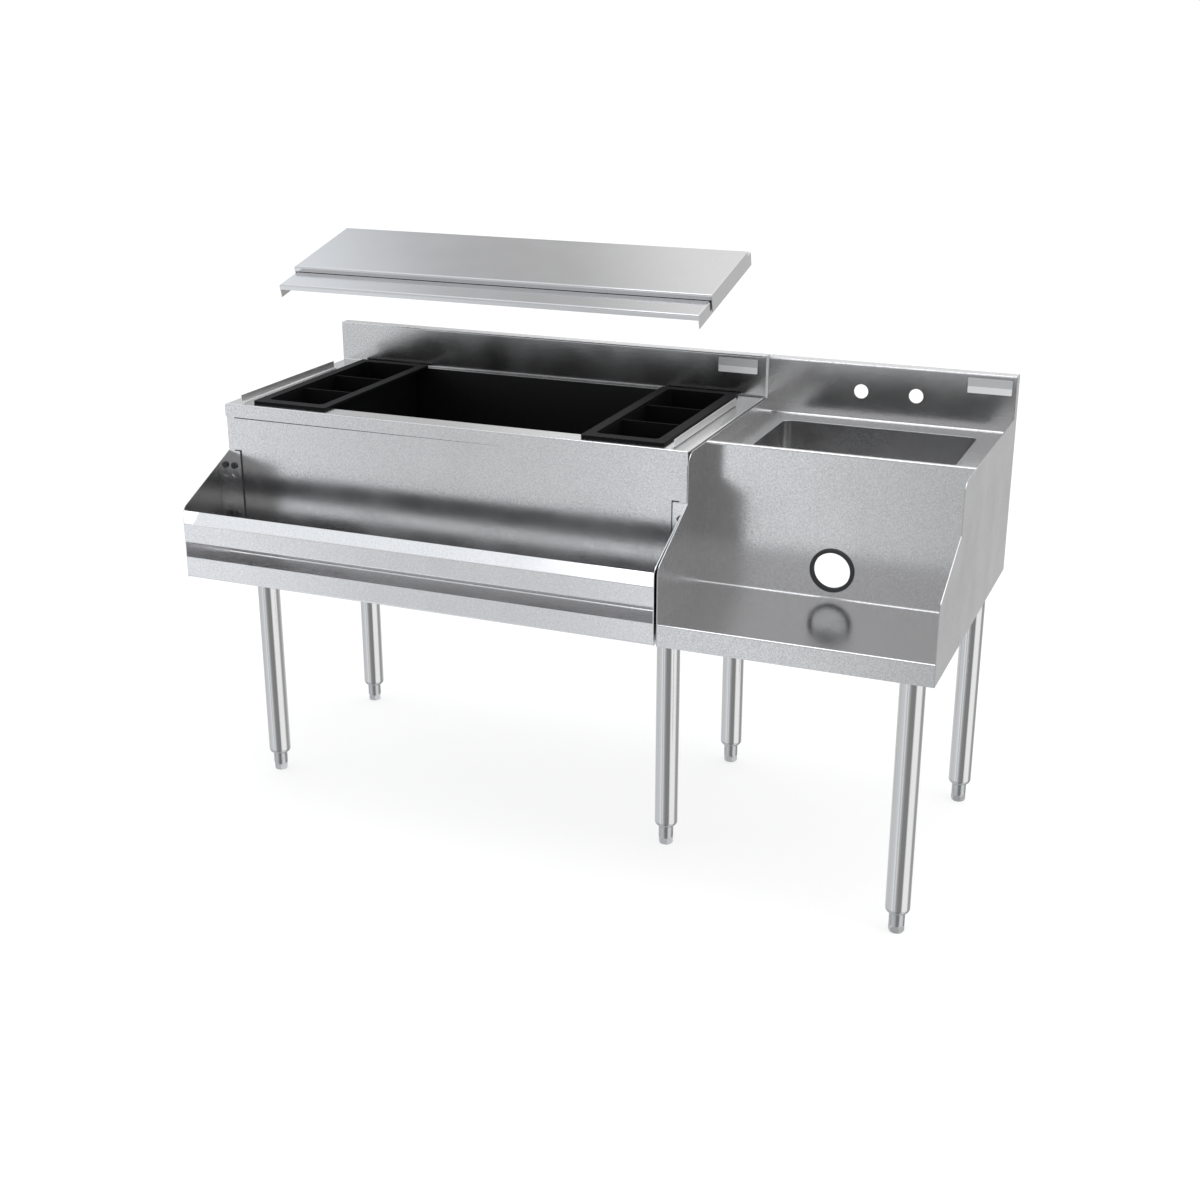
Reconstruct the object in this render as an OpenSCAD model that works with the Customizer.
// Underbar work station: insulated ice bin with speed rail, beside a small sink station.
// X runs along the unit, +Y to the back, +Z up. The origin is on the floor, under the middle.

/* [Overall] */
// Depth of the whole unit, front edge of the shelf to the back
overall_d = 609.6; // [560:0.1:760]
// Height of the ice bin's deck above the floor
deck_h = 737.9; // [700:0.1:860]
// Height of the backsplash above the ice bin's deck
splash_h = 77.2; // [60:0.1:160]
// Thickness of the backsplash, front face to back flange
splash_t = 26.5; // [18:0.1:50]
// Height of the backsplash's back flange
splash_flange = 19; // [10:0.5:40]
// Thickness of the sheet steel
sheet = 1.5; // [1:0.1:2]
// Inner radius of the bends in the sheet steel
bend_in = 2; // [0.5:0.1:2.2]
// Height of both bodies, underside to the ice bin's deck
body_h = 289.6; // [270:0.1:340]
// Gap between the two units
unit_gap = 4.8; // [3:0.1:12]

/* [Ice bin] */
// Width of the ice bin unit
bin_w = 909.6; // [760:0.1:1200]
// How far the bin's face stands behind the front of the speed rail
face_setback = 154; // [130:0.5:170]
// Height of the fascia that the deck turns down
fascia_h = 24.5; // [15:0.5:40]
// Width of the deck beside the opening
deck_side = 66; // [60:0.5:90]
// Depth of the deck ahead of the opening
deck_front = 39; // [30:0.5:60]
// Depth of the deck behind the opening
deck_back = 13.5; // [10:0.5:30]
// Wall of the moulded liner
liner_wall = 3; // [2:0.5:5]
// Corner radius of the liner
liner_r = 3.5; // [2:0.5:10]
// Thickness of insulation under the liner
floor_foam = 42; // [20:1:60]
// Radius of the ice bin's drain bore
bin_drain_r = 13; // [8:0.5:16]
// Outer radius of the ice bin's drain pipe
bin_pipe_r = 16.7; // [12:0.1:20]
// Radius of the drain's flange
bin_flange_r = 30; // [25:0.5:36]
// Outer radius of the drain's tail, below its lock nut
bin_tail_r = 15.9; // [14:0.1:16.4]
// Drop of the drain pipe below the body
bin_pipe_drop = 22; // [10:1:50]
// Height of the cover guides
guide_h = 15; // [8:0.1:20]
// Length of the cover guides
guide_len = 328; // [250:1:400]
// Width of the foot of a cover guide
guide_foot = 6.5; // [5:0.1:6.8]
// How far a cover guide stands in from the deck's side edge
guide_inset = 28; // [18:0.5:28.5]
// How far a cover guide starts behind the deck's front edge
guide_start = 13; // [8:0.5:30]

/* [Cover] */
// Width of the cover's front panel
cover_w = 839.5; // [800:0.5:840]
// Depth of the cover's front panel, which slides
front_panel_d = 203; // [170:1:220]
// Depth of the cover's back panel
back_panel_d = 292; // [240:1:300]
// Height of the front panel's side skirts
cover_skirt = 30.5; // [26:0.1:34]
// Height of the back panel's side skirts
back_skirt = 25.4; // [22:0.1:30]
// Height of the front lip of both panels
cover_lip = 10.2; // [6:0.1:12]
// Clearance between the front panel's lip and the back panel
cover_gap = 0.8; // [0.5:0.1:2]
// Clearance between the panels' side skirts
cover_side_gap = 1; // [0.5:0.1:4]
// Gap behind the closed cover, to the backsplash
cover_back_gap = 23.6; // [18:0.1:40]
// How far the closed cover stands back from the deck's front edge
cover_front_gap = 8.6; // [4:0.1:20]
// How far the front panel is pushed back over the back panel
cover_open = 167.6; // [0:0.1:180]
// Tilt of the lifted cover
lift_angle = 13.6; // [5:0.1:20]
// How far ahead of the unit the lifting hands turn the cover
lift_reach = 440.1; // [300:0.1:600]
// Height above the floor at which the lifting hands turn the cover
lift_axis_h = 1000; // [900:1:1100]

/* [Inserts] */
// Width of an insert, outside of its rim
insert_w = 152.4; // [120:0.1:170]
// Height of an insert's rim above the deck
insert_rim_h = 5; // [3:0.5:8]
// Width of an insert's rim at its sides and back
insert_rim = 20; // [14:0.5:24]
// Width of an insert's rim at the front
insert_rim_front = 24; // [23:0.5:32]
// How far an insert's rim lies over the deck ahead of the opening
insert_lap = 20; // [15:0.5:20.5]
// Gap between an insert's rim and the backsplash
insert_back_gap = 7; // [2:0.5:10]
// How far an insert's rim stands in from the deck's side edge
insert_inset = 50; // [46:0.5:70]
// Depth of an insert below the deck
insert_depth = 127; // [80:1:160]
// Wall of an insert
insert_wall = 2.5; // [2:0.1:4]
// Corner radius inside an insert
cell_r = 8; // [4:0.5:20]
// Corner radius of an insert's rim
insert_r = 4; // [4:0.5:16]
// How far the dividers stop below the rim
divider_drop = 4; // [1:0.5:20]
// Width of the ledge round the inside of the rim
insert_ledge = 1.5; // [0.5:0.5:3]

/* [Speed rail] */
// Height of the tray's front lip
tray_lip = 38.6; // [25:0.1:60]
// Height of the bar's lower edge above the tray's underside
bar_low = 65.5; // [50:0.1:80]
// Height of the bar's front face
bar_face = 36; // [25:0.1:50]
// How far the bar's sloped top runs back
bar_top_run = 23.6; // [12:0.1:30]
// How far the bar's sloped top rises
bar_top_rise = 16.5; // [8:0.1:20]
// Height of the end plates at the front
end_nose = 129; // [122:0.5:140]
// Height of the end plates at the bin's face
end_peak = 201; // [170:0.5:230]
// Radius of the end plates' nose
nose_r = 20; // [8:1:30]
// Width of the flange by which an end plate hangs
end_flange = 26; // [20:0.5:40]
// Width of the narrow part of a keyhole
slot_w = 6.6; // [5:0.1:10]
// Radius of the wide part of a keyhole
keyhole_r = 7; // [6:0.1:10]
// How far the rail must rise to come off its studs
unhook = 16; // [12:0.5:20]
// Height of the upper studs above the underside of the rail
stud_high = 172; // [150:1:185]
// Height of the lower studs above the underside of the rail
stud_low = 78; // [60:1:110]
// Radius of a stud's head
stud_head_r = 6; // [5:0.1:8]

/* [Sink station] */
// Width of the sink station
sink_w = 457.2; // [430:0.1:760]
// How far the sink's deck lies below the ice bin's deck
sink_drop = 25.4; // [10:0.1:40]
// How far the sink station's front panel stands behind the shelf's edge
station_setback = 232; // [210:0.5:240]
// Height of the front shelf above the underside
shelf_h = 38.1; // [30:0.1:60]
// Height of the side panels at the shelf's front edge
side_nose = 133; // [100:0.5:160]
// Height at which a side panel's slanted edge ends
side_slant = 204; // [180:0.5:230]
// How far the side panels' upright edge stands behind the shelf's edge
side_setback = 140; // [120:0.5:160]
// Radius of the side panels' top corner
side_r = 25; // [10:1:40]
// Width of the bowl's opening
bowl_w = 355.6; // [300:0.1:360]
// Gap between the front panel and the bowl's opening
bowl_front_gap = 40.5; // [38:0.1:70]
// Depth of the bowl
bowl_h = 152.4; // [120:0.1:160]
// Corner radius of the bowl
bowl_r = 16; // [13:1:40]
// Radius between the bowl's walls and its floor
bowl_cove = 12; // [6:1:12.5]
// Gap between the bowl's opening and the backsplash
bowl_back_gap = 56.6; // [40:0.1:60]
// Width of the bowl's rim under the deck
bowl_rim = 12; // [8:0.5:16]
// Distance from the bowl's back wall to the drain's centre
drain_back = 79.5; // [60:0.5:90]
// Radius of the drain's flange
drain_flange_r = 38; // [34:0.5:45]
// Outer radius of the drain's cup
drain_cup_r = 30; // [26:0.5:33]
// Depth of the drain's cup
drain_cup_h = 30; // [20:0.5:36]
// Outer radius of the drain's outlet pipe
drain_pipe_r = 19.05; // [15:0.05:24]
// Length of the drain's outlet pipe
drain_pipe_h = 60; // [30:1:70]
// Spacing of the faucet holes
faucet_spacing = 101.6; // [90:0.1:205]
// Radius of a faucet hole
faucet_hole_r = 13.25; // [10:0.05:18]
// Distance from the top of the backsplash to the faucet holes
faucet_drop = 50.3; // [35:0.1:54]
// Radius of the cord opening through the grommet
cord_r = 31.75; // [20:0.05:40]
// Outer radius of the grommet
grommet_r = 38.7; // [34:0.1:50]
// Height of the cord opening above the shelf
cord_above_shelf = 49.5; // [46:0.5:90]

/* [Legs and feet] */
// Outer diameter of a leg tube
leg_dia = 41.3; // [38:0.1:50]
// Wall of a leg tube
leg_wall = 1.5; // [1:0.1:3]
// Distance from the bin's left edge to the left legs
left_leg_in = 59; // [50:0.5:80]
// Distance from the bin's right edge to the middle legs
middle_leg_in = 34; // [32:0.5:60]
// Distance from the station's right edge to the right legs
right_leg_in = 38.4; // [34:0.5:60]
// Distance from the bin's face to its front legs
front_leg_in = 11.5; // [0:0.5:60]
// Distance from the shelf's front edge to the station's front leg
shelf_leg_in = 24.5; // [24:0.5:60]
// Distance from the back to the back legs
back_leg_in = 68.6; // [40:0.1:120]
// Width of a leg channel
channel_w = 54; // [46:0.5:60]
// Height of the leg channels under the ice bin
channel_h = 24; // [18:0.5:34]
// Length of a foot below its leg
foot_show = 36; // [25:0.5:60]
// Height of the rounded end of a leg
leg_nose = 9; // [3:0.5:12]
// Radius of a foot's barrel
foot_r = 13.5; // [10:0.1:16]
// Radius of a foot's threaded stem
stem_r = 6; // [4:0.1:8]

/* [Hidden] */
$fn = 64;
overrun = 1;
clear = 0.3;
run_fit = 0.05;

overall_w = bin_w + unit_gap + sink_w;
x_left = -overall_w / 2;
x_bin_right = x_left + bin_w;
x_sink = x_bin_right + unit_gap;
x_right = overall_w / 2;
x_sink_mid = (x_sink + x_right) / 2;
x_bin_mid = (x_left + x_bin_right) / 2;

y_front = -overall_d / 2;
y_back = overall_d / 2;
y_splash = y_back - splash_t;
y_deck = y_front + face_setback;
y_face = y_deck + sheet;
y_station = y_front + station_setback;

z_base = deck_h - body_h;
z_splash = deck_h + splash_h;
z_sink = deck_h - sink_drop;
z_shelf = z_base + shelf_h;

open_x0 = x_left + deck_side;
open_x1 = x_bin_right - deck_side;
open_y0 = y_deck + deck_front;
open_y1 = y_splash - deck_back;
open_w = open_x1 - open_x0;
open_d = open_y1 - open_y0;

z_liner_top = deck_h - sheet;
z_liner_floor = z_base + sheet + floor_foam;
liner_rim = 10;
bin_drain_x = x_bin_mid;
drain_clear = 16;
bin_drain_y = open_y1 - bin_flange_r - drain_clear;
drain_flange_t = 2;
drain_wall = 2;
nut_h = 8;
nut_over = 7;

cover_depth_gap = cover_lip + cover_gap;
back_panel_w = cover_w - 2 * (sheet + cover_side_gap);
front_panel_rise = back_skirt + cover_depth_gap - cover_skirt;
back_panel_y = y_splash - cover_back_gap - back_panel_d;
front_panel_y = y_deck + cover_front_gap + cover_open;
cover_seat = 0.3;

insert_y0 = open_y0 - insert_lap;
insert_y1 = y_splash - insert_back_gap;
insert_d = insert_y1 - insert_y0;
pocket_w = insert_w - 2 * insert_rim;
pocket_d = insert_d - insert_rim_front - insert_rim;
compartments = 3;
cell_d = (pocket_d - (compartments - 1) * insert_wall) / compartments;

rail_d = y_face - y_front;
keyhole_x = 11.5;
stud_shank_r = slot_w / 2 - clear;
stud_head_t = 3;
bar_return = 8;
tray_back = 25;

bowl_x0 = x_sink_mid - bowl_w / 2;
bowl_y1 = y_splash - bowl_back_gap;
bowl_y0 = y_station + bowl_front_gap;
bowl_d = bowl_y1 - bowl_y0;
z_bowl_floor = z_sink - bowl_h;
drain_y = bowl_y1 - drain_back;
cord_z = z_shelf + cord_above_shelf;
grommet_wall = 3.25;
panel_hole_r = cord_r + grommet_wall;
grommet_lip = 3;
hem = 8;
brace_d = 22;

basket_r = drain_cup_r - drain_wall - clear;
basket_clear = 6;
basket_h = drain_cup_h - drain_wall - basket_clear;
basket_wall = 1.2;
basket_hole_r = 1.8;
knob_r = 5;
knob_h = 9;

bolt_r = 4;
bolt_head_r = 8;
bolt_head_h = 5;
spacer_r = 10;
bolt_y_shares = [0.42, 0.86];
bolt_z_shares = [0.24, 0.6];

leg_r = leg_dia / 2;
z_leg = foot_show + leg_nose;
plug_h = 20;
stem_h = 34;
hex_h = 13;
socket_wall = 2;
sink_channel_h = shelf_h - sheet;
left_leg_x = x_left + left_leg_in;
middle_leg_x = x_bin_right - middle_leg_in;
right_leg_x = x_right - right_leg_in;
bin_leg_y = y_face + front_leg_in;
shelf_leg_y = y_front + shelf_leg_in;
back_leg_y = y_back - back_leg_in;
LEGS = [
    [left_leg_x, bin_leg_y, 0],
    [left_leg_x, back_leg_y, 0],
    [middle_leg_x, bin_leg_y, 0],
    [middle_leg_x, back_leg_y, 0],
    [right_leg_x, shelf_leg_y, sink_channel_h],
    [right_leg_x, back_leg_y, sink_channel_h]
];

steel = "#c9cccf";
bright = "#dcdfe2";
dark_steel = "#9a9ea2";
black = "#232427";
foam = "#d9cf9e";
plated = "#b8bbbf";

// Helpers

// A block between two corners
module block(lo, hi) {
    translate(lo) cube(hi - lo);
}

// A flat rounded rectangle from the origin, with true arcs at its corners
module round_rect(w, d, r) {
    translate([r, 0]) square([w - 2 * r, d]);
    translate([0, r]) square([w, d - 2 * r]);
    for (x = [r, w - r], y = [r, d - r]) translate([x, y]) circle(r);
}

// A rounded box from a corner at lo
module round_box(lo, w, d, h, r) {
    translate(lo) linear_extrude(h) round_rect(w, d, r);
}

// Points along an arc
function arc(cx, cy, r, from, to, steps = 10) =
    [for (i = [0:steps]) let (a = from + (to - from) * i / steps) [cx + r * cos(a), cy + r * sin(a)]];

// Extrudes an outline drawn in Y and Z along X, from x0 to x1
module along_x(x0, x1) {
    translate([x0, 0, 0]) rotate([90, 0, 90]) linear_extrude(x1 - x0) children();
}

// Extrudes an outline drawn in X and Z along Y, from y0 to y1
module along_y(y0, y1) {
    translate([0, y1, 0]) rotate([90, 0, 0]) linear_extrude(y1 - y0) children();
}

function unit(v) = v / norm(v);
function left_of(v) = [-v.y, v.x];
function turns_left(a, b, c) = (b.x - a.x) * (c.y - b.y) > (b.y - a.y) * (c.x - b.x);

// Points of an arc that rounds the corner b of the path a, b, c
function round_turn(a, b, c, r, steps = 4) = let (
        d1 = unit(b - a),
        d2 = unit(c - b),
        side = turns_left(a, b, c) ? 1 : -1,
        turn = acos(d1 * d2),
        start = b - r * tan(turn / 2) * d1,
        centre = start + side * r * left_of(d1),
        v = start - centre)
    [for (i = [0:steps]) let (t = side * turn * i / steps)
        centre + [v.x * cos(t) - v.y * sin(t), v.x * sin(t) + v.y * cos(t)]];

// One face of a bent sheet; a left turn is the outer side of its bend where left_outer is true
function bent_face(p, left_outer) = concat([p[0]],
    [for (i = [1:len(p) - 2])
        each round_turn(p[i - 1], p[i], p[i + 1],
                        turns_left(p[i - 1], p[i], p[i + 1]) == left_outer ? bend_in + sheet : bend_in)],
    [p[len(p) - 1]]);

// The path one sheet's thickness to the left
function inner_path(p) = let (last = len(p) - 1)
    [for (i = [0:last]) let (
        n1 = left_of(unit(i > 0 ? p[i] - p[i - 1] : p[1] - p[0])),
        n2 = left_of(unit(i < last ? p[i + 1] - p[i] : p[last] - p[last - 1])))
        p[i] + sheet / (1 + n1 * n2) * (n1 + n2)];

// Outline of a sheet bent along the path p, with its thickness to the left of the path
function bent_sheet(p) = let (back = bent_face(inner_path(p), false))
    concat(bent_face(p, true), [for (i = [len(back) - 1:-1:0]) back[i]]);

// Outline of a box from a0 to a1, with its two top corners rounded
function rounded_top(a0, a1, low, high, r0, r1) = concat([[a0, low]],
    r0 > 0 ? round_turn([a0, low], [a0, high], [a1, high], r0) : [[a0, high]],
    r1 > 0 ? round_turn([a0, high], [a1, high], [a1, low], r1) : [[a1, high]],
    [[a1, low]]);

// A box whose front and side edges are rounded at the top, as a sheet is bent down there
module folded_box(lo, hi, r) {
    intersection() {
        along_x(lo.x, hi.x) polygon(rounded_top(lo.y, hi.y, lo.z, hi.z, r, 0));
        along_y(lo.y, hi.y) polygon(rounded_top(lo.x, hi.x, lo.z, hi.z, r, r));
    }
}

// Places a closed cover panel where the lifting hands hold it
module lifted() {
    translate([0, y_front - lift_reach, lift_axis_h])
        rotate([lift_angle, 0, 0])
            translate([0, lift_reach - y_front, -lift_axis_h])
                children();
}

// Ice bin

module bin_deck() color(steel) {
    difference() {
        folded_box([x_left, y_deck, deck_h - fascia_h], [x_bin_right, y_splash, deck_h], bend_in + sheet);
        block([x_left + sheet, y_deck + sheet, deck_h - fascia_h - overrun],
              [x_bin_right - sheet, y_splash + overrun, deck_h - sheet]);
        round_box([open_x0, open_y0, deck_h - fascia_h], open_w, open_d, fascia_h + overrun, liner_r);
    }
}

// Front face, top and short back flange, closed at both ends by a plate
module bin_splash() color(steel) {
    r = bend_in + sheet;
    low = z_splash - splash_flange;
    difference() {
        along_x(x_left, x_bin_right) polygon(rounded_top(y_splash, y_back, z_liner_top, z_splash, r, r));
        along_x(x_left + sheet, x_bin_right - sheet) polygon(concat(
            rounded_top(y_splash + sheet, y_back - sheet, z_liner_top - overrun, z_splash - sheet, bend_in, bend_in),
            [[y_back - sheet, low], [y_back + overrun, low], [y_back + overrun, z_liner_top - overrun]]
        ));
    }
}

module bin_front() color(steel) {
    block([x_left + sheet, y_face, z_base], [x_bin_right - sheet, y_face + sheet, z_liner_top]);
}

module bin_side(x, drilled) {
    difference() {
        block([x, y_face + sheet, z_base], [x + sheet, y_back - sheet, z_liner_top]);
        if (drilled) bolt_places() rotate([0, 90, 0]) {
            cylinder(r = bolt_r + run_fit, h = 2 * (unit_gap + 2 * sheet), center = true);
        }
    }
}

module bin_side_left() color(steel) bin_side(x_left + sheet, false);

module bin_side_right() color(steel) bin_side(x_bin_right - 2 * sheet, true);

module bin_back() color(dark_steel) {
    block([x_left + sheet, y_back - sheet, z_base], [x_bin_right - sheet, y_back, z_liner_top]);
}

module bin_pan() color(dark_steel) {
    difference() {
        block([x_left + 2 * sheet, y_face + sheet, z_base],
              [x_bin_right - 2 * sheet, y_back - sheet, z_base + sheet]);
        bin_drain_hole(bin_pipe_r + clear);
    }
}

module bin_drain_hole(r) {
    translate([bin_drain_x, bin_drain_y, z_base]) cylinder(r = r, h = body_h);
}

module bin_liner() color(black) {
    floor_low = z_liner_floor - liner_wall;
    // the four walls with the rim turned out over the deck's edge
    difference() {
        union() {
            round_box([open_x0 - liner_wall, open_y0 - liner_wall, floor_low],
                      open_w + 2 * liner_wall, open_d + 2 * liner_wall,
                      z_liner_top - floor_low, liner_r + liner_wall);
            round_box([open_x0 - liner_rim, open_y0 - liner_rim, z_liner_top - liner_wall],
                      open_w + 2 * liner_rim, open_d + 2 * liner_rim, liner_wall, liner_r);
        }
        round_box([open_x0, open_y0, floor_low - overrun], open_w, open_d,
                  body_h + overrun, liner_r);
    }
    // the floor panel set in between them, on the foam
    difference() {
        round_box([open_x0 + clear, open_y0 + clear, floor_low],
                  open_w - 2 * clear, open_d - 2 * clear, liner_wall, liner_r - clear);
        bin_drain_hole(bin_pipe_r + clear);
    }
}

module bin_insulation() color(foam) {
    gap = liner_wall + clear;
    difference() {
        block([x_left + 2 * sheet, y_face + sheet, z_base + sheet],
              [x_bin_right - 2 * sheet, y_back - sheet, z_liner_top - liner_wall]);
        round_box([open_x0 - gap, open_y0 - gap, z_liner_floor - liner_wall],
                  open_w + 2 * gap, open_d + 2 * gap, body_h, liner_r + gap);
        bin_drain_hole(bin_pipe_r + clear);
    }
}

module bin_drain() color(plated) {
    z_end = z_base - bin_pipe_drop;
    z_nut = z_base - nut_h;
    translate([bin_drain_x, bin_drain_y, 0]) difference() {
        union() {
            translate([0, 0, z_end]) cylinder(r = bin_tail_r, h = z_nut - z_end);
            translate([0, 0, z_nut]) cylinder(r = bin_pipe_r, h = z_liner_floor - z_nut);
            translate([0, 0, z_liner_floor]) cylinder(r1 = bin_flange_r, r2 = bin_flange_r - drain_flange_t,
                                                      h = drain_flange_t);
        }
        translate([0, 0, z_end - overrun]) cylinder(r = bin_drain_r, h = body_h);
    }
}

module bin_drain_nut() color(plated) {
    translate([bin_drain_x, bin_drain_y, z_base - nut_h]) difference() {
        cylinder(r = bin_pipe_r + nut_over, h = nut_h, $fn = 6);
        translate([0, 0, -overrun]) cylinder(r = bin_pipe_r + run_fit, h = nut_h + 2 * overrun);
    }
}

// An angle on the deck: an upright leg, and a foot that points to the opening
module cover_guide(x, hand) {
    y0 = y_deck + guide_start;
    translate([x, 0, 0]) mirror([hand, 0, 0]) along_y(y0, y0 + guide_len)
        polygon(bent_sheet([[0, deck_h + guide_h], [0, deck_h], [guide_foot, deck_h]]));
}

module cover_guide_left() color(bright) cover_guide(x_left + guide_inset, 0);

module cover_guide_right() color(bright) cover_guide(x_bin_right - guide_inset, 1);

// A cover panel as it lies closed: a top bent down at the sides and, less deep, at the front
module panel(w, y, d, skirt, rise) {
    lo = [x_bin_mid - w / 2, y, deck_h + cover_seat + rise];
    hi = lo + [w, d, skirt];
    difference() {
        folded_box(lo, hi, bend_in + sheet);
        folded_box(lo + [sheet, sheet, -overrun], hi + [-sheet, overrun, -sheet], bend_in);
        block(lo + [sheet, -overrun, -overrun], [hi.x - sheet, y + sheet + overrun, hi.z - cover_lip]);
    }
}

module cover_back_panel() color(bright) lifted() {
    panel(back_panel_w, back_panel_y, back_panel_d, back_skirt, 0);
}

module cover_front_panel() color(bright) lifted() {
    panel(cover_w, front_panel_y, front_panel_d, cover_skirt, front_panel_rise);
}

// Inserts

module insert(x) color(black) {
    body_w = pocket_w + 2 * insert_wall;
    body_d = pocket_d + 2 * insert_wall;
    px = x + insert_rim;
    py = insert_y0 + insert_rim_front;
    bottom = deck_h - insert_depth;
    top = deck_h + insert_rim_h;
    difference() {
        union() {
            round_box([x, insert_y0, deck_h], insert_w, insert_d, insert_rim_h, insert_r);
            round_box([px - insert_wall, py - insert_wall, bottom], body_w, body_d,
                      insert_depth + insert_rim_h / 2, cell_r + insert_wall);
        }
        difference() {
            round_box([x + insert_wall, insert_y0 + insert_wall, deck_h - overrun],
                      insert_w - 2 * insert_wall, insert_d - 2 * insert_wall,
                      insert_rim_h / 2 + overrun, insert_r - insert_wall);
            round_box([px - 2 * insert_wall, py - 2 * insert_wall, deck_h - 2 * overrun],
                      body_w + 2 * insert_wall, body_d + 2 * insert_wall,
                      insert_rim_h + 2 * overrun, cell_r + 2 * insert_wall);
        }
        for (i = [0:compartments - 1]) intersection() {
            cell_y = py + i * (cell_d + insert_wall);
            round_box([px, py, bottom + insert_wall], pocket_w, pocket_d,
                      insert_depth + 2 * insert_rim_h, cell_r);
            block([px - overrun, cell_y, bottom], [px + pocket_w + overrun, cell_y + cell_d, z_splash]);
        }
        round_box([px - insert_ledge, py - insert_ledge, top - divider_drop],
                  pocket_w + 2 * insert_ledge, pocket_d + 2 * insert_ledge,
                  divider_drop + overrun, cell_r + insert_ledge);
    }
}

module insert_left() insert(x_left + insert_inset);

module insert_right() insert(x_bin_right - insert_inset - insert_w);

// Speed rail

// A front face between a sloped top and a short return at its foot
module rail_bar() color(bright) {
    low = z_base + bar_low;
    high = low + bar_face;
    along_x(x_left + sheet, x_bin_right - sheet) polygon(bent_sheet([
        [y_front + bar_top_run, high + bar_top_rise],
        [y_front, high],
        [y_front, low],
        [y_front + bar_return, low]
    ]));
}

// A trough with a high lip at the front and a low one at the back
module rail_tray() color(steel) {
    back = y_face - sheet;
    along_x(x_left + sheet, x_bin_right - sheet) polygon(bent_sheet([
        [y_front, z_base + tray_lip],
        [y_front, z_base],
        [back, z_base],
        [back, z_base + tray_back]
    ]));
}

function end_outline() = let (
        slant = atan2(end_peak - end_nose, rail_d),
        turn = 90 - slant,
        leg = nose_r * tan(turn / 2))
    concat([[y_face, z_base], [y_front, z_base]],
           arc(y_front + nose_r, z_base + end_nose - leg, nose_r, 180, 180 - turn),
           [[y_face, z_base + end_peak]]);

module keyhole_places(x) {
    for (z = [stud_low, stud_high]) translate([x, y_face, z_base + z]) children();
}

module rail_end(x, inward) {
    plate = inward > 0 ? x : x - sheet;
    flange = inward > 0 ? x : x - end_flange;
    along_x(plate, plate + sheet) polygon(end_outline());
    difference() {
        block([flange, y_face - sheet, z_base], [flange + end_flange, y_face, z_base + end_peak - sheet]);
        keyhole_places(x + inward * keyhole_x) {
            rotate([90, 0, 0]) cylinder(r = slot_w / 2, h = 4 * sheet, center = true);
            block([-slot_w / 2, -2 * sheet, -unhook], [slot_w / 2, 2 * sheet, 0]);
            translate([0, 0, -unhook]) rotate([90, 0, 0]) cylinder(r = keyhole_r, h = 4 * sheet, center = true);
        }
    }
}

module rail_end_left() color(dark_steel) rail_end(x_left, 1);

module rail_end_right() color(dark_steel) rail_end(x_bin_right, -1);

module rail_studs() color(plated) {
    for (x = [x_left + keyhole_x, x_bin_right - keyhole_x]) keyhole_places(x) {
        rotate([90, 0, 0]) {
            cylinder(r = stud_shank_r, h = sheet + clear);
            translate([0, 0, sheet + clear]) cylinder(r = stud_head_r, h = stud_head_t);
        }
    }
}

// Sink station

module sink_deck() color(steel) {
    difference() {
        block([x_sink + sheet, y_station + sheet, z_sink - sheet], [x_right - sheet, y_splash, z_sink]);
        round_box([bowl_x0, bowl_y0, z_sink - sheet - overrun], bowl_w, bowl_d,
                  sheet + 2 * overrun, bowl_r);
    }
}

module sink_splash() color(steel) {
    difference() {
        along_x(x_sink + sheet, x_right - sheet) polygon(bent_sheet([
            [y_back, z_splash - splash_flange],
            [y_back, z_splash],
            [y_splash, z_splash],
            [y_splash, z_sink - sheet]
        ]));
        for (side = [-1, 1]) {
            translate([x_sink_mid + side * faucet_spacing / 2, y_splash - overrun, z_splash - faucet_drop])
                rotate([-90, 0, 0]) cylinder(r = faucet_hole_r, h = sheet + 2 * overrun);
        }
    }
}

module sink_front() color(steel) {
    difference() {
        along_x(x_sink + sheet, x_right - sheet) polygon(bent_sheet([
            [y_station + hem, deck_h],
            [y_station, deck_h],
            [y_station, z_shelf]
        ]));
        translate([x_sink_mid, y_station - overrun, cord_z])
            rotate([-90, 0, 0]) cylinder(r = panel_hole_r, h = sheet + 2 * overrun);
    }
}

function side_outline() = let (
        slant = atan2(side_slant - side_nose, side_setback),
        turn = 90 - slant,
        leg = nose_r * tan(turn / 2))
    concat([[y_back, z_base], [y_front, z_base]],
           arc(y_front + nose_r, z_base + side_nose - leg, nose_r, 180, 180 - turn),
           [[y_front + side_setback, z_base + side_slant]],
           arc(y_front + side_setback + side_r, deck_h - side_r, side_r, 180, 90),
           [[y_splash, deck_h], [y_splash, z_splash], [y_back, z_splash]]);

module sink_side(x) {
    along_x(x, x + sheet) polygon(side_outline());
}

module sink_side_left() color(steel) {
    difference() {
        sink_side(x_sink);
        bolt_places() rotate([0, 90, 0]) {
            cylinder(r = bolt_r + run_fit, h = 4 * (unit_gap + 2 * sheet), center = true);
        }
    }
}

module sink_side_right() color(steel) sink_side(x_right - sheet);

module sink_shelf() color(steel) {
    along_x(x_sink + sheet, x_right - sheet) polygon(bent_sheet([
        [y_station + hem, z_shelf],
        [y_front, z_shelf],
        [y_front, z_base]
    ]));
}

module sink_brace() color(dark_steel) {
    x1 = right_leg_x - channel_w / 2;
    block([x_sink + sheet, y_back - brace_d, z_base], [x1, y_back - brace_d + sheet, z_shelf]);
    block([x_sink + sheet, y_back - brace_d, z_base], [x1, y_back, z_base + sheet]);
}

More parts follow.
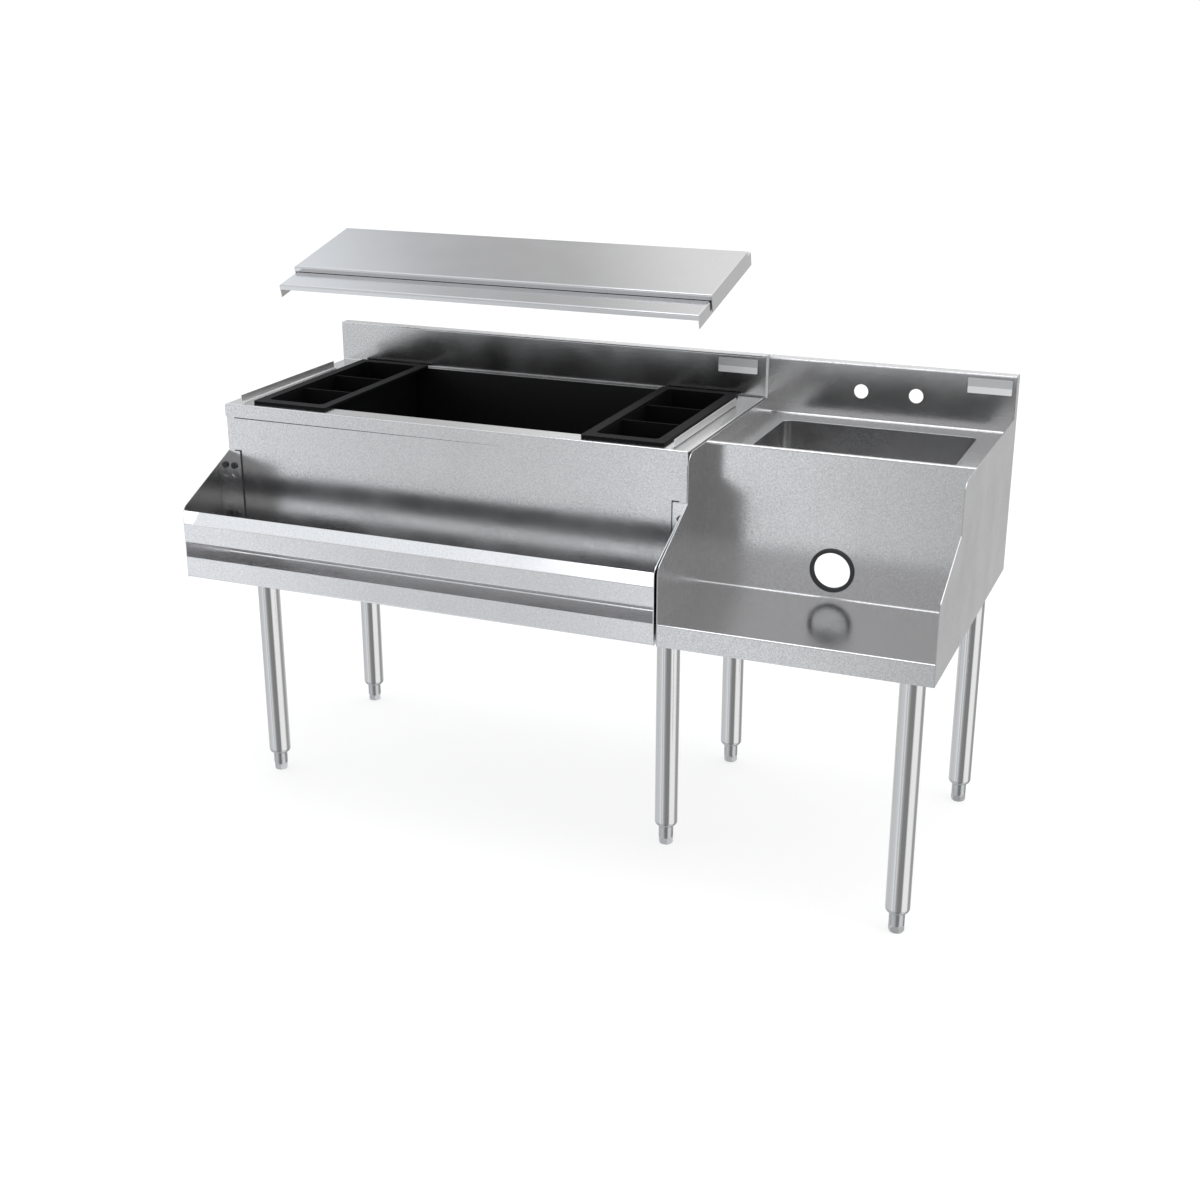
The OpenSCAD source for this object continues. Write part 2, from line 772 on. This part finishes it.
// The inside of the bowl, or its outside when grown by its wall
module bowl_space(grow, top) {
    r = bowl_r + grow;
    cove = bowl_cove + grow;
    inner = bowl_r - bowl_cove;
    hull() {
        for (x = [bowl_x0 + bowl_r, bowl_x0 + bowl_w - bowl_r], y = [bowl_y0 + bowl_r, bowl_y1 - bowl_r]) {
            translate([x, y, 0]) {
                translate([0, 0, z_bowl_floor + bowl_cove]) cylinder(r = r, h = top - z_bowl_floor - bowl_cove, $fn = 32);
                translate([0, 0, z_bowl_floor + bowl_cove]) rotate_extrude($fn = 32) {
                    intersection() {
                        translate([inner, 0]) circle(cove, $fn = 32);
                        translate([0, -cove]) square([r, cove]);
                    }
                    translate([0, -cove]) square([inner, cove]);
                }
            }
        }
    }
}

module bowl_drain_hole(r, h) {
    translate([x_sink_mid, drain_y, z_bowl_floor - h]) cylinder(r = r, h = 2 * h);
}

module sink_bowl() color(steel) {
    z_rim = z_sink - sheet;
    difference() {
        union() {
            bowl_space(sheet, z_rim - sheet);
            round_box([bowl_x0 - bowl_rim, bowl_y0 - bowl_rim, z_rim - sheet],
                      bowl_w + 2 * bowl_rim, bowl_d + 2 * bowl_rim, sheet, bowl_r + bowl_rim);
        }
        bowl_space(0, z_sink);
        bowl_drain_hole(drain_cup_r + clear, bowl_cove);
    }
}

module sink_drain() color(plated) {
    cup_low = z_bowl_floor - drain_cup_h;
    pipe_low = cup_low - drain_pipe_h;
    translate([x_sink_mid, drain_y, 0]) rotate_extrude() polygon([
        [drain_pipe_r, pipe_low],
        [drain_pipe_r, cup_low],
        [drain_cup_r, cup_low],
        [drain_cup_r, z_bowl_floor],
        [drain_flange_r, z_bowl_floor],
        [drain_flange_r, z_bowl_floor + drain_flange_t / 2],
        [drain_flange_r - drain_flange_t, z_bowl_floor + drain_flange_t],
        [drain_cup_r - drain_wall, z_bowl_floor + drain_flange_t],
        [drain_cup_r - drain_wall, cup_low + drain_wall],
        [drain_pipe_r - drain_wall, cup_low + drain_wall],
        [drain_pipe_r - drain_wall, pipe_low]
    ]);
}

module sink_drain_nut() color(plated) {
    translate([x_sink_mid, drain_y, z_bowl_floor - sheet - nut_h]) difference() {
        cylinder(r = drain_cup_r + nut_over, h = nut_h, $fn = 8);
        translate([0, 0, -overrun]) cylinder(r = drain_cup_r + run_fit, h = nut_h + 2 * overrun);
    }
}

// A lift-out basket whose rim rests on the drain's flange
module sink_strainer() color(bright) {
    rim_z = z_bowl_floor + drain_flange_t + cover_seat;
    floor_z = rim_z - basket_h;
    translate([x_sink_mid, drain_y, 0]) difference() {
        union() {
            rotate_extrude() polygon([
                [0, floor_z],
                [basket_r - basket_wall, floor_z],
                [basket_r, floor_z + basket_wall],
                [basket_r, rim_z],
                [basket_r + 2 * drain_wall, rim_z],
                [basket_r + 2 * drain_wall, rim_z + basket_wall],
                [basket_r - basket_wall, rim_z + basket_wall],
                [basket_r - basket_wall, floor_z + basket_wall],
                [0, floor_z + basket_wall]
            ]);
            translate([0, 0, floor_z]) cylinder(r = knob_r / 2, h = basket_h);
            translate([0, 0, rim_z - knob_h / 2]) cylinder(r1 = knob_r / 2, r2 = knob_r, h = knob_h);
        }
        for (ring = [1, 2], i = [0:6 * ring - 1]) {
            rotate(60 * i / ring) translate([ring * basket_r / 3 + knob_r / 2, 0, floor_z - overrun])
                cylinder(r = basket_hole_r, h = basket_wall + 2 * overrun, $fn = 16);
        }
    }
}

module cord_grommet() color(black) {
    groove = panel_hole_r - run_fit;
    translate([x_sink_mid, y_station, cord_z]) rotate([-90, 0, 0]) rotate_extrude() polygon([
        [cord_r, -grommet_lip],
        [grommet_r - grommet_lip / 2, -grommet_lip],
        [grommet_r, -grommet_lip / 2],
        [grommet_r, 0],
        [groove, 0],
        [groove, sheet],
        [grommet_r, sheet],
        [grommet_r, sheet + grommet_lip / 2],
        [grommet_r - grommet_lip / 2, sheet + grommet_lip],
        [cord_r, sheet + grommet_lip]
    ]);
}

// The joining bolts' places, on the plane midway between the units
module bolt_places() {
    for (ys = bolt_y_shares, zs = bolt_z_shares) {
        translate([x_bin_right + unit_gap / 2, y_station + ys * (y_back - y_station), z_base + zs * body_h])
            children();
    }
}

module joining_bolts() color(plated) {
    reach = unit_gap / 2 + sheet;
    gap = unit_gap + sheet;
    bolt_places() rotate([0, 90, 0]) {
        translate([0, 0, -reach - sheet]) cylinder(r = bolt_r, h = 2 * reach + sheet);
        translate([0, 0, reach]) cylinder(r = bolt_head_r, h = bolt_head_h, $fn = 6);
        translate([0, 0, unit_gap / 2 - gap]) cylinder(r = spacer_r, h = gap);
    }
}

// Legs and feet

// A channel, open below, whose web carries the leg sockets
module leg_channel(x, y0, y1, h, top) {
    block([x - channel_w / 2, y0, top - sheet], [x + channel_w / 2, y1, top]);
    for (side = [x - channel_w / 2, x + channel_w / 2 - sheet]) {
        block([side, y0, top - h], [side + sheet, y1, top]);
    }
}

module leg_channel_left() color(dark_steel) {
    leg_channel(left_leg_x, bin_leg_y - channel_w / 2, y_back - sheet, channel_h, z_base);
}

module leg_channel_middle() color(dark_steel) {
    leg_channel(middle_leg_x, bin_leg_y - channel_w / 2, y_back - sheet, channel_h, z_base);
}

module leg_channel_right() color(dark_steel) {
    leg_channel(right_leg_x, y_front + sheet + bend_in, y_back, sink_channel_h, z_base + sink_channel_h);
}

module leg_sockets() color(dark_steel) {
    for (leg = LEGS) translate([leg.x, leg.y, z_base + leg.z - sheet - channel_h]) difference() {
        cylinder(r = leg_r + socket_wall, h = channel_h);
        translate([0, 0, -overrun]) cylinder(r = leg_r + run_fit, h = channel_h + 2 * overrun);
    }
}

module leg(i) color(bright) {
    place = LEGS[i];
    length = z_base + place.z - sheet - z_leg;
    translate([place.x, place.y, z_leg]) difference() {
        cylinder(r = leg_r, h = length);
        translate([0, 0, -overrun]) cylinder(r = leg_r - leg_wall, h = length + 2 * overrun);
    }
}

// The rounded end of a leg and the threaded plug above it
module leg_plug() {
    inner = leg_r - leg_wall - run_fit;
    bore = stem_r + run_fit;
    rotate_extrude() polygon(concat(
        [[bore, foot_show], [foot_r, foot_show]],
        [for (i = [0:6]) let (a = 90 * i / 6)
            [foot_r + (leg_r - foot_r) * sin(a), z_leg - leg_nose * cos(a)]],
        [[inner, z_leg], [inner, z_leg + plug_h], [bore, z_leg + plug_h]]
    ));
}

module leg_plugs() color(plated) {
    for (leg = LEGS) translate([leg.x, leg.y, 0]) leg_plug();
}

// A bullet foot: hexagon for the spanner, round barrel and threaded stem
module foot(i) color(plated) {
    place = LEGS[i];
    flat_r = foot_r * cos(30);
    translate([place.x, place.y, 0]) {
        intersection() {
            cylinder(r = foot_r, h = hex_h, $fn = 6);
            rotate_extrude() polygon([
                [0, 0], [flat_r, 0], [foot_r, hex_h / 5], [foot_r, hex_h * 3 / 4], [flat_r, hex_h], [0, hex_h]
            ]);
        }
        translate([0, 0, hex_h]) cylinder(r = foot_r - clear, h = foot_show - hex_h);
        translate([0, 0, foot_show]) cylinder(r = stem_r, h = stem_h);
    }
}

module leg_front_left() leg(0);
module leg_back_left() leg(1);
module leg_front_middle() leg(2);
module leg_back_middle() leg(3);
module leg_front_right() leg(4);
module leg_back_right() leg(5);

module foot_front_left() foot(0);
module foot_back_left() foot(1);
module foot_front_middle() foot(2);
module foot_back_middle() foot(3);
module foot_front_right() foot(4);
module foot_back_right() foot(5);

bin_deck();
bin_splash();
bin_front();
bin_side_left();
bin_side_right();
bin_back();
bin_pan();
bin_liner();
bin_insulation();
bin_drain();
bin_drain_nut();
cover_guide_left();
cover_guide_right();
cover_back_panel();
cover_front_panel();
insert_left();
insert_right();
rail_bar();
rail_tray();
rail_end_left();
rail_end_right();
rail_studs();
sink_deck();
sink_splash();
sink_front();
sink_side_left();
sink_side_right();
sink_shelf();
sink_brace();
sink_bowl();
sink_drain();
sink_drain_nut();
sink_strainer();
cord_grommet();
leg_channel_left();
leg_channel_middle();
leg_channel_right();
leg_sockets();
leg_front_left();
leg_back_left();
leg_front_middle();
leg_back_middle();
leg_front_right();
leg_back_right();
leg_plugs();
foot_front_left();
foot_back_left();
foot_front_middle();
foot_back_middle();
foot_front_right();
foot_back_right();
joining_bolts();
